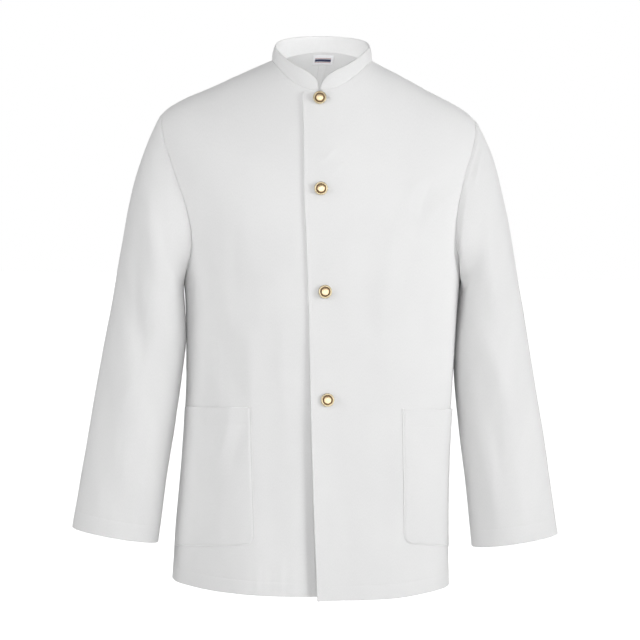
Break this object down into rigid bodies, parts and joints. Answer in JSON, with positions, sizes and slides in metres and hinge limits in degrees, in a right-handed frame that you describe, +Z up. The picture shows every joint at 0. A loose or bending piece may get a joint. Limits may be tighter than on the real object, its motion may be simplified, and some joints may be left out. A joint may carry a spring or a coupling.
{
  "type": "chef jacket",
  "caption": "Hip-length stand-collar work jacket with long sleeves, overlapping button front and two hem pockets, hollow and shaped as worn.",
  "frame": {"origin": "centre of the wearer's neck, level with the side of the collar seam, where the worn jacket is held", "axes": "+Z up along the body, -Y towards the buttoned front, +X towards the wearer's left sleeve"},
  "size_m": [0.7258, 0.2701, 0.8299],
  "materials": {
    "cotton": "matte white cotton twill",
    "button_metal": "polished gold-coloured metal with a dark groove",
    "label_cloth": "woven satin ribbon"
  },
  "bodies": {
    "root": {"front_left": "cotton", "front_right": "cotton", "back_left": "cotton", "back_right": "cotton", "sleeve_left": "cotton", "sleeve_right": "cotton", "collar": "cotton", "pocket_left": "cotton", "pocket_right": "cotton", "button_1": "button_metal", "button_2": "button_metal", "button_3": "button_metal", "button_4": "button_metal", "label": "label_cloth"}
  },
  "joints": []
}
